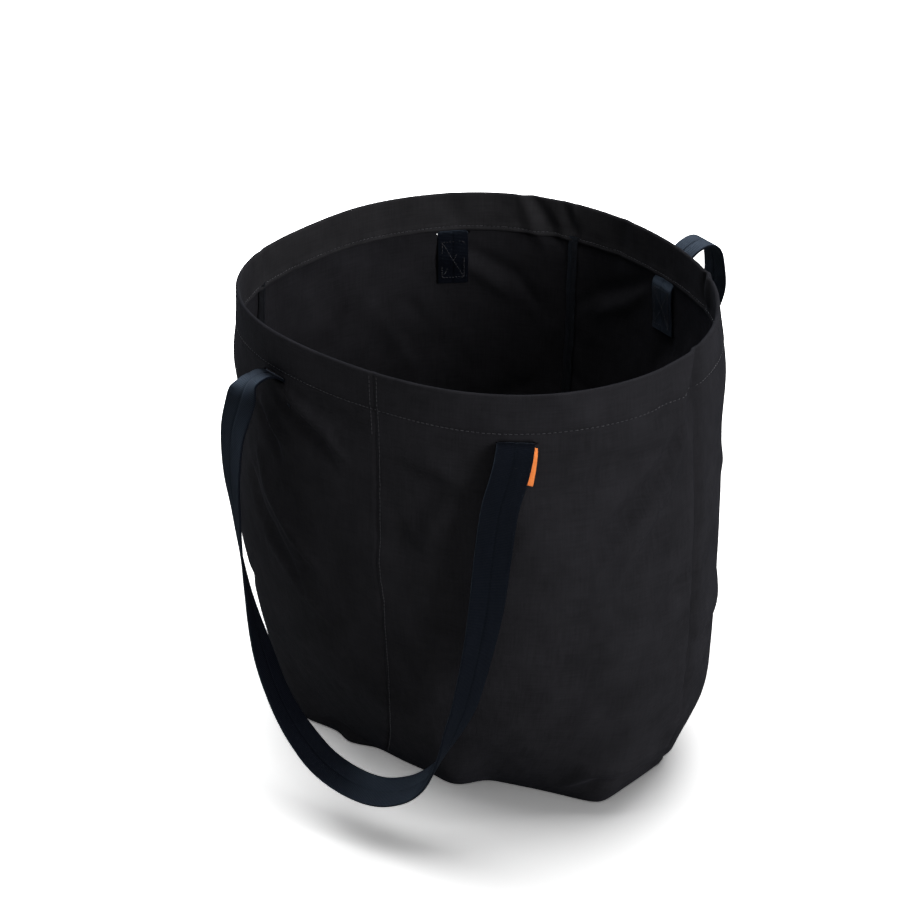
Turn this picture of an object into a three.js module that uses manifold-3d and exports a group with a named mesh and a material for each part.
// Foldable tote bag with two webbing handles, standing open and empty.
// Units are millimetres, +Z up. Origin: centre of the underside of the base panel.
// -Y is the front, +X is the bag's right.
import * as THREE from 'three';
import Module from 'manifold-3d';

const { clamp, degToRad, smoothstep } = THREE.MathUtils;
const TURN = 2 * Math.PI;

// ---- driving dimensions ------------------------------------------------
// Angles run round the bag: 0 = front centre, a quarter turn = +X side.
const BAG_H = 400;            // height of the wall
const CLOTH_T = 1.6;          // wall and base cloth
const ARC_R = 176;            // radius that turns widths along the wall into angles

const MOUTH_R = 176.2;        // mean radius of the open mouth
const MOUTH_SHIFT_X = 1.4;    // how far the mouth stands off the centre of the base
const MOUTH_SHIFT_Y = -3.8;
const MOUTH_WAVES = [         // waves per turn, cosine and sine amplitude
  [2, -6, 5.4], [3, -4.7, 0.5], [4, 0, 2.4],
];

const BASE_W = 136;           // half width of the base at its corners
const BASE_D = 73;            // half depth of the base
const BASE_POINT = 32;        // how far the side points stand out past the corners
const BASE_LEFT_IN = 9;       // the left side of the base is drawn in by this much
const BASE_SHARPNESS = 24;    // higher gives crisper base corners
const BASE_BOW_FRONT = 20;    // bow of the front base edge
const BASE_BOW_BACK = 12;     // bow of the back base edge
const BASE_BOW_SPREAD = 0.8;  // radians

const WALL_POWER = 3.55;      // how soon the wall turns upright above the base
const BULGE_SIDES = 14.9;     // belly of the side walls
const BULGE_RIGHT = 5.3;      // right side bellies more than the left
const BULGE_POWER = 0.6245;   // below 1 sets the fullest height below mid wall

const WEB_W = 26;             // webbing width
const WEB_T = 1.8;            // webbing thickness
const SLOT_Z = 364.5;         // height where the webbing passes the wall
const TAIL_Z = 322;           // lower end of the webbing tail inside
const TAIL_OFFSET = -3.5;     // middle of the tail, measured outwards from the wall
const PIVOT_GAP = 2.0;        // webbing is cut back this far on both sides of a swing line

// Slots of the handle ends, spread evenly about the middle of each handle
const FRONT_MIDDLE = -2.8;    // degrees
const BACK_MIDDLE = 176.8;
const SLOT_SPREAD = 34.2;
const SLOT_FRONT_LEFT = degToRad(FRONT_MIDDLE - SLOT_SPREAD);
const SLOT_FRONT_RIGHT = degToRad(FRONT_MIDDLE + SLOT_SPREAD);
const SLOT_BACK_RIGHT = degToRad(BACK_MIDDLE - SLOT_SPREAD);
const SLOT_BACK_LEFT = degToRad(BACK_MIDDLE + SLOT_SPREAD);

// ---- materials ---------------------------------------------------------
const fabric = (color, roughness = 0.9) =>
  new THREE.MeshStandardMaterial({ color, roughness, metalness: 0 });

const MATERIAL = {
  frontCloth: fabric(0x212123),
  backCloth: fabric(0x1d1d1f),
  base: fabric(0x1c1c1e),
  facing: fabric(0x19191b),
  tape: fabric(0x141416),
  webbing: fabric(0x1c1f2a, 0.6),
  thread: fabric(0x2b2d36, 0.7),
  tab: fabric(0xe8823c, 0.7),
};

// ---- wall surface ------------------------------------------------------
const between = (from, to, t) => from + (to - from) * t;

// angle at fraction t across a strip of the given width, centred on an angle
const across = (centre, width, t) => centre + (t - 0.5) * width / ARC_R;

// bell-shaped bow of 1 at the centre angle
function bow(angle, centre) {
  const turn = angle - centre;
  const nearest = turn - TURN * Math.round(turn / TURN);
  return Math.exp(-((nearest / BASE_BOW_SPREAD) ** 2));
}

// six-sided base with rounded corners, plus the bows
function baseRadius(angle) {
  const x = Math.sin(angle);
  const y = -Math.cos(angle);
  const length = Math.hypot(BASE_D, BASE_POINT);
  const normalX = BASE_D / length;
  const normalY = BASE_POINT / length;
  const right = normalX * BASE_W + normalY * BASE_D;
  const left = right - BASE_LEFT_IN;
  // outward normal x and y of each edge, and its distance from the centre
  const edges = [
    [0, -1, BASE_D], [0, 1, BASE_D],
    [normalX, -normalY, right], [normalX, normalY, right],
    [-normalX, -normalY, left], [-normalX, normalY, left],
  ];
  let sum = 0;
  for (const [edgeX, edgeY, distance] of edges) {
    sum += Math.pow(Math.max((edgeX * x + edgeY * y) / distance, 0), BASE_SHARPNESS);
  }
  return Math.pow(sum, -1 / BASE_SHARPNESS)
    + BASE_BOW_FRONT * bow(angle, 0) + BASE_BOW_BACK * bow(angle, Math.PI);
}

function mouthRadius(angle) {
  let radius = MOUTH_R;
  for (const [waves, cosine, sine] of MOUTH_WAVES) {
    radius += cosine * Math.cos(waves * angle) + sine * Math.sin(waves * angle);
  }
  return radius;
}

// point on the outside of the wall
function wall(angle, z) {
  const height = clamp(z / BAG_H, 0, 1);
  const opening = 1 - Math.pow(1 - height, WALL_POWER);
  const side = Math.sin(angle);
  const bulge = (BULGE_SIDES * side * side + BULGE_RIGHT * side)
    * Math.sin(Math.PI * Math.pow(height, BULGE_POWER));
  const radius = between(baseRadius(angle), mouthRadius(angle), opening) + bulge;
  return new THREE.Vector3(
    radius * side + MOUTH_SHIFT_X * opening,
    -radius * Math.cos(angle) + MOUTH_SHIFT_Y * opening,
    z,
  );
}

// outward normal of the wall
function wallNormal(angle, z) {
  const angleStep = 1e-3;
  const heightStep = 0.2;
  const along = wall(angle + angleStep, z).sub(wall(angle - angleStep, z));
  const up = wall(angle, z + heightStep).sub(wall(angle, z - heightStep));
  return along.cross(up).normalize();
}

// Upright seams: angle at height z. Each sweeps aside near the base and settles above it.
const seam = (top, sweep, settle) => (z) => top + sweep * Math.exp(-z / settle);
const frontSeam = seam(-0.045, -0.44, 55);
const rightSeam = seam(1.36, 0.21, 45);
const leftSeam = seam(-1.50, -0.07, 45);
const backSeam = () => degToRad(BACK_MIDDLE);

// ---- builders ----------------------------------------------------------
// A sheet of cloth: surface(u, s) with u and s from 0 to 1, filled between two
// offsets along its own normal.
function sheet(columns, rows, surface, fromOffset, toOffset) {
  const geometry = new THREE.BoxGeometry(1, 1, 1, columns, rows, 1);
  geometry.deleteAttribute('uv');
  geometry.deleteAttribute('normal');
  const positions = geometry.attributes.position;
  const step = 1e-3;
  for (let i = 0; i < positions.count; i++) {
    const u = positions.getX(i) + 0.5;
    const s = positions.getY(i) + 0.5;
    const depth = positions.getZ(i) + 0.5;
    const alongU = surface(Math.min(u + step, 1), s).sub(surface(Math.max(u - step, 0), s));
    const alongS = surface(u, Math.min(s + step, 1)).sub(surface(u, Math.max(s - step, 0)));
    const normal = alongU.cross(alongS).normalize();
    const point = surface(u, s).addScaledVector(normal, between(fromOffset, toOffset, depth));
    positions.setXYZ(i, point.x, point.y, point.z);
  }
  return geometry;
}

// merges coincident vertices and drops the triangles that collapse
function weld(geometry) {
  const positions = geometry.attributes.position;
  const { index } = geometry;
  const ticksPerMm = 2000;
  const known = new Map();
  const vertices = [];
  const remap = [];
  for (let i = 0; i < positions.count; i++) {
    const point = [positions.getX(i), positions.getY(i), positions.getZ(i)];
    const key = point.map((value) => Math.round(value * ticksPerMm)).join(',');
    if (!known.has(key)) {
      known.set(key, vertices.length / 3);
      vertices.push(...point);
    }
    remap.push(known.get(key));
  }
  const triangles = [];
  const count = index ? index.count : positions.count;
  for (let i = 0; i < count; i += 3) {
    const corners = [0, 1, 2].map((j) => remap[index ? index.getX(i + j) : i + j]);
    if (new Set(corners).size === 3) triangles.push(...corners);
  }
  return { vertices: new Float32Array(vertices), triangles: new Uint32Array(triangles) };
}

function indexedGeometry(vertices, triangles) {
  const geometry = new THREE.BufferGeometry();
  geometry.setAttribute('position', new THREE.BufferAttribute(vertices, 3));
  geometry.setIndex(new THREE.BufferAttribute(triangles, 1));
  return geometry;
}

const manifold = await Module();
manifold.setup();

function solidOf(geometry) {
  const { vertices, triangles } = weld(geometry);
  return new manifold.Manifold(new manifold.Mesh({
    numProp: 3,
    vertProperties: vertices,
    triVerts: triangles,
  }));
}

function subtract(body, cutter) {
  const mesh = solidOf(body).subtract(solidOf(cutter)).getMesh();
  return indexedGeometry(new Float32Array(mesh.vertProperties), new Uint32Array(mesh.triVerts));
}

const bag = new THREE.Group();
bag.name = 'foldable_tote_bag';

function add(name, source, material) {
  const { vertices, triangles } = weld(source);
  const geometry = indexedGeometry(vertices, triangles);
  geometry.computeVertexNormals();
  const mesh = new THREE.Mesh(geometry, material);
  mesh.name = name;
  bag.add(mesh);
}

// ---- wall panels -------------------------------------------------------
const SEAM_HALF_GAP = 0.0024; // radians
const PANEL_BOTTOM_Z = 2;
const PANEL_ROW_POWER = 1.35; // above 1 crowds the rows towards the base
const SLOT_H = 3.8;
const SLOT_SIDE_PLAY = 1.4;   // slot width beyond the webbing
const SLOT_OVERCUT = 3;       // how far the cutter passes both faces of the wall

function panel(fromSeam, toSeam) {
  return sheet(18, 22, (u, s) => {
    const z = between(PANEL_BOTTOM_Z, BAG_H, Math.pow(s, PANEL_ROW_POWER));
    return wall(between(fromSeam(z) + SEAM_HALF_GAP, toSeam(z) - SEAM_HALF_GAP, u), z);
  }, -CLOTH_T, 0);
}

// short tunnel square to the wall, for the webbing
function slotCutter(slot) {
  return sheet(4, 1, (u, s) => (
    wall(across(slot, WEB_W + SLOT_SIDE_PLAY, u), SLOT_Z + SLOT_H * (s - 0.5))
  ), -CLOTH_T - SLOT_OVERCUT, SLOT_OVERCUT);
}

const backSeamFromLeft = () => backSeam() - TURN;
const { frontCloth, backCloth } = MATERIAL;
for (const [name, fromSeam, toSeam, slot, material] of [
  ['front_left_panel', leftSeam, frontSeam, SLOT_FRONT_LEFT, frontCloth],
  ['front_right_panel', frontSeam, rightSeam, SLOT_FRONT_RIGHT, frontCloth],
  ['back_right_panel', rightSeam, backSeam, SLOT_BACK_RIGHT, backCloth],
  ['back_left_panel', backSeamFromLeft, leftSeam, SLOT_BACK_LEFT, backCloth],
]) {
  add(name, subtract(panel(fromSeam, toSeam), slotCutter(slot)), material);
}

// ---- base panel --------------------------------------------------------
function basePanel() {
  const count = 96;
  const outline = Array.from({ length: count }, (_, i) => {
    const { x, y } = wall(TURN * i / count, 0);
    return new THREE.Vector2(x, y);
  });
  const shape = new THREE.Shape(outline);
  shape.closePath();
  return new THREE.ExtrudeGeometry(shape, { depth: CLOTH_T, bevelEnabled: false });
}
add('base_panel', basePanel(), MATERIAL.base);

// ---- hem bands inside the mouth ---------------------------------------
const FACING_T = 1.2;
const FACING_GAP = 0.6;       // clearance between wall and band
const FACING_BOTTOM_Z = 369;
const FACING_TOP_Z = BAG_H - 0.6;
const FACING_END_GAP = 0.006; // radians
const FACING_LEFT = leftSeam(380);
const FACING_RIGHT = rightSeam(380);

function facing(from, to) {
  const outer = -CLOTH_T - FACING_GAP;
  return sheet(36, 3, (u, s) => wall(
    between(from + FACING_END_GAP, to - FACING_END_GAP, u),
    between(FACING_BOTTOM_Z, FACING_TOP_Z, s),
  ), outer - FACING_T, outer);
}
add('front_facing', facing(FACING_LEFT, FACING_RIGHT), MATERIAL.facing);
add('back_facing', facing(FACING_RIGHT, FACING_LEFT + TURN), MATERIAL.facing);

// ---- binding tapes inside the upright seams ----------------------------
const TAPE_W = 9;
const TAPE_T = 1.6;
const TAPE_GAP = 0.8;         // clearance between wall and tape
const TAPE_TOP_Z = 366;
const TAPE_ROW_POWER = 1.3;

function seamTape(seamLine, bottomZ) {
  const outer = -CLOTH_T - TAPE_GAP;
  return sheet(2, 22, (u, s) => {
    const z = between(bottomZ, TAPE_TOP_Z, Math.pow(s, TAPE_ROW_POWER));
    return wall(across(seamLine(z), TAPE_W, u), z);
  }, outer - TAPE_T, outer);
}
add('front_centre_binding', seamTape(frontSeam, 8), MATERIAL.tape);
add('back_centre_binding', seamTape(backSeam, 8), MATERIAL.tape);
add('right_side_binding', seamTape(rightSeam, 9), MATERIAL.tape);
add('left_side_binding', seamTape(leftSeam, 9), MATERIAL.tape);

// ---- flat tapes round the side points of the base ----------------------
const CORNER_TAPE_Z = 3.4;    // mid height
const CORNER_TAPE_W = 7;
const CORNER_TAPE_T = 1.4;
const CORNER_TAPE_INSET = 5.6; // outer edge in from the outside of the wall
const CORNER_TAPE_ARC = 0.92; // radians

function cornerTape(middle) {
  return sheet(24, 1, (u, s) => {
    const { x, y } = wall(middle + (u - 0.5) * CORNER_TAPE_ARC, CORNER_TAPE_Z);
    const radius = Math.hypot(x, y);
    const scale = (radius - CORNER_TAPE_INSET - CORNER_TAPE_W * (1 - s)) / radius;
    return new THREE.Vector3(x * scale, y * scale, CORNER_TAPE_Z);
  }, -CORNER_TAPE_T / 2, CORNER_TAPE_T / 2);
}
add('right_corner_binding', cornerTape(TURN / 4), MATERIAL.tape);
add('left_corner_binding', cornerTape(-TURN / 4), MATERIAL.tape);

// ---- handle tables -----------------------------------------------------
// Stations along each hanging loop: x, z, then the direction (x, y, z) its outer face looks.
const FRONT_LOOP = [          // left to right
  [-114.2, 358, -0.35, -0.93, 0.10], [-119.3, 345.7, -0.50, -0.86, 0],
  [-124.5, 322, -0.66, -0.75, 0], [-125, 289, -0.80, -0.60, 0],
  [-122.5, 260, -0.88, -0.48, 0], [-120, 227, -0.93, -0.36, 0],
  [-115.5, 193, -0.97, -0.22, 0], [-111, 168, -0.98, -0.10, -0.1],
  [-105, 141, -0.95, 0.02, -0.25], [-96, 115, -0.85, 0.15, -0.45],
  [-84, 93, -0.66, 0.28, -0.65], [-68, 75, -0.45, 0.40, -0.76],
  [-47, 60, -0.25, 0.48, -0.83], [-23, 51.5, -0.08, 0.52, -0.85],
  [1.5, 51.3, 0.12, 0.50, -0.85], [23, 61, 0.42, 0.40, -0.78],
  [37.7, 74, 0.68, 0.28, -0.62], [47.7, 89, 0.88, 0.12, -0.40],
  [57.4, 111, 0.98, -0.08, -0.10], [65.2, 134, 0.93, -0.34, 0],
  [72, 157, 0.88, -0.47, 0], [80.5, 203, 0.78, -0.62, 0],
  [85.7, 242, 0.60, -0.80, 0], [88.4, 279, 0.42, -0.90, 0],
  [93.2, 320, 0.22, -0.97, 0], [96.5, 348, 0.08, -0.99, 0],
];
const BACK_LOOP = [           // right to left
  [133.5, 357, 0.50, 0.86, 0], [131.4, 345, 0.52, 0.85, 0],
  [126, 320, 0.60, 0.80, 0], [121, 290, 0.70, 0.71, 0],
  [116, 255, 0.80, 0.60, 0], [111, 220, 0.87, 0.48, 0],
  [106, 185, 0.93, 0.33, -0.1], [100, 150, 0.97, 0.15, -0.2],
  [91, 125, 0.93, 0, -0.37], [76, 103, 0.75, -0.20, -0.63],
  [54, 88, 0.45, -0.40, -0.80], [27, 79, 0.20, -0.50, -0.84],
  [0, 77, 0, -0.52, -0.85], [-27, 79, -0.20, -0.50, -0.84],
  [-54, 88, -0.45, -0.40, -0.80], [-76, 103, -0.75, -0.20, -0.63],
  [-90, 125, -0.93, 0, -0.37], [-98, 150, -0.97, 0.15, -0.2],
  [-102, 185, -0.93, 0.33, -0.1], [-104, 220, -0.85, 0.50, 0],
  [-104, 255, -0.70, 0.70, 0], [-103, 290, -0.50, 0.86, 0],
  [-101, 320, -0.28, 0.96, 0], [-99, 348, -0.08, 0.99, 0],
];

// Each end has its slot, a point on the swing line (pivot), and the lift of the
// webbing as it leaves the slot. Ends are in the order of the loop's stations.
// The hanging plane passes through y = lowY at z = LOOP_LOW_Z.
const LOOP_LOW_Z = 20;
const FRONT_RIGHT_PIVOT = new THREE.Vector3(98, -174, 373);
const HANDLES = [
  {
    side: 'front', outwardY: -1, lowY: -182, stations: FRONT_LOOP,
    ends: [
      { hand: 'left', slot: SLOT_FRONT_LEFT, pivot: new THREE.Vector3(-111.5, -162, 366), lift: 6 },
      { hand: 'right', slot: SLOT_FRONT_RIGHT, pivot: FRONT_RIGHT_PIVOT, lift: 2 },
    ],
  },
  {
    side: 'back', outwardY: 1, lowY: 188, stations: BACK_LOOP,
    ends: [
      { hand: 'right', slot: SLOT_BACK_RIGHT, pivot: new THREE.Vector3(131, 169.5, 382), lift: 44 },
      { hand: 'left', slot: SLOT_BACK_LEFT, pivot: new THREE.Vector3(-98, 174, 373), lift: 2 },
    ],
  },
];

const swingAxis = ({ ends: [first, last] }) => last.pivot.clone().sub(first.pivot).normalize();

// ---- sewn handle ends --------------------------------------------------
// Tail up the inside of the wall and out through the slot: offset from the wall, height
const TAIL_PATH = new THREE.CatmullRomCurve3([
  [TAIL_OFFSET, TAIL_Z], [TAIL_OFFSET, TAIL_Z + 12],
  [TAIL_OFFSET, TAIL_Z + 24], [TAIL_OFFSET, SLOT_Z - 5.5],
  [-2.9, SLOT_Z - 1.3], [-1.0, SLOT_Z], [1.2, SLOT_Z], [3.0, SLOT_Z + 0.2],
].map(([offset, z]) => new THREE.Vector3(offset, z, 0)), false, 'centripetal');
const TAIL_SHARE = 0.7;       // share of the end's rows spent on the tail path
const BEND_REACH = 0.405;     // bend control distance per distance from slot to swing line

function tailPoint(slot, u, t) {
  const { x: offset, y: z } = TAIL_PATH.getPoint(t);
  const angle = across(slot, WEB_W, u);
  const normal = wallNormal(angle, z);
  return { point: wall(angle, z).addScaledVector(normal, offset), normal };
}

function handleEnd({ slot, pivot, lift }, axis, outwardY) {
  const inward = new THREE.Vector3(0, -outwardY, 0).projectOnPlane(axis).normalize();
  return sheet(4, 40, (u, s) => {
    if (s <= TAIL_SHARE) return tailPoint(slot, u, s / TAIL_SHARE).point;
    const { point: start, normal } = tailPoint(slot, u, 1);
    const finish = pivot.clone()
      .addScaledVector(axis, (u - 0.5) * WEB_W)
      .addScaledVector(inward, PIVOT_GAP);
    const reach = start.distanceTo(finish) * BEND_REACH;
    const leaving = start.clone().addScaledVector(normal, reach);
    leaving.z += lift;
    const arriving = finish.clone().addScaledVector(inward, reach);
    const bend = new THREE.CubicBezierCurve3(start, leaving, arriving, finish);
    return bend.getPoint((s - TAIL_SHARE) / (1 - TAIL_SHARE));
  }, -WEB_T / 2, WEB_T / 2);
}

for (const handle of HANDLES) {
  for (const end of handle.ends) {
    const geometry = handleEnd(end, swingAxis(handle), handle.outwardY);
    add(`${handle.side}_handle_end_${end.hand}`, geometry, MATERIAL.webbing);
  }
}

// ---- stitched tacks on the inner face of the tails ---------------------
const TACK_W = 19;
const TACK_H = 15;
const TACK_T = 0.8;
const TACK_GAP = 0.5;         // clearance between webbing and tack
const TACK_BOTTOM_Z = TAIL_Z + 6;

function tack(slot) {
  const outer = TAIL_OFFSET - WEB_T / 2 - TACK_GAP;
  return sheet(4, 2, (u, s) => wall(across(slot, TACK_W, u), TACK_BOTTOM_Z + TACK_H * s),
    outer - TACK_T, outer);
}

for (const { side, ends } of HANDLES) {
  for (const { hand, slot } of ends) add(`${side}_${hand}_tack`, tack(slot), MATERIAL.thread);
}

// ---- handle loops ------------------------------------------------------
const TWIST_STATIONS = 2.2;   // stations over which each end turns off its swing line

function handleLoop(handle) {
  const [first, last] = handle.ends.map((end) => end.pivot);
  const axis = swingAxis(handle);
  const down = new THREE.Vector3(0, handle.lowY - first.y, LOOP_LOW_Z - first.z).normalize();
  const plane = new THREE.Vector3().crossVectors(axis, down).normalize();
  const outward = new THREE.Vector3(0, handle.outwardY, 0);
  const points = [first.clone().addScaledVector(down, PIVOT_GAP)];
  const facings = [outward];
  for (const [x, z, facingX, facingY, facingZ] of handle.stations) {
    // y follows from the hanging plane
    const y = first.y - (plane.x * (x - first.x) + plane.z * (z - first.z)) / plane.y;
    points.push(new THREE.Vector3(x, y, z));
    facings.push(new THREE.Vector3(facingX, facingY, facingZ));
  }
  points.push(last.clone().addScaledVector(down, PIVOT_GAP));
  facings.push(outward);

  const curve = new THREE.CatmullRomCurve3(points, false, 'centripetal');
  const spans = points.length - 1;
  const step = 1e-4;
  const facingAt = (t) => {
    const i = Math.min(Math.floor(t * spans), spans - 1);
    return facings[i].clone().lerp(facings[i + 1], smoothstep(t * spans - i, 0, 1));
  };
  return sheet(2, 150, (u, s) => {
    const t = clamp(s, 0, 1);
    const tangent = curve.getPoint(Math.min(t + step, 1))
      .sub(curve.getPoint(Math.max(t - step, 0)))
      .normalize();
    let widthways = facingAt(t).cross(tangent).normalize();
    // at both ends the width lies along the swing line
    const freedom = smoothstep(Math.min(t, 1 - t) * spans / TWIST_STATIONS, 0, 1);
    if (freedom < 1) {
      const sign = widthways.dot(axis) < 0 ? -1 : 1;
      widthways = axis.clone().multiplyScalar(sign).lerp(widthways, freedom).normalize();
    }
    return curve.getPoint(t).addScaledVector(widthways, (u - 0.5) * WEB_W);
  }, -WEB_T / 2, WEB_T / 2);
}

for (const handle of HANDLES) {
  add(`${handle.side}_handle_webbing`, handleLoop(handle), MATERIAL.webbing);
}

// ---- ribbon tab behind the outer edge of the front right leg -----------
const TAB_W = 9.5;            // at the top
const TAB_FLARE = 1.0;        // extra width at the bottom
const TAB_LEAN = 1.5;         // shift of the inner edge towards -X at the bottom
const TAB_H = 28;
const TAB_T = 1.2;
const TAB_DROP = 8;           // top edge below the swing line
const TAB_OVERLAP = 6;        // inner edge in from the edge of the webbing
const TAB_BEHIND = WEB_T / 2 + 1.4; // middle of the tab behind the swing line

function sideTab() {
  const { x, y, z } = FRONT_RIGHT_PIVOT;
  const innerX = x + WEB_W / 2 - TAB_OVERLAP;
  return sheet(3, 4, (u, s) => new THREE.Vector3(
    innerX - TAB_LEAN * s + (TAB_W + TAB_FLARE * s) * u,
    y + TAB_BEHIND,
    z - TAB_DROP - TAB_H * s,
  ), -TAB_T / 2, TAB_T / 2);
}
add('side_tab', sideTab(), MATERIAL.tab);

export default bag;
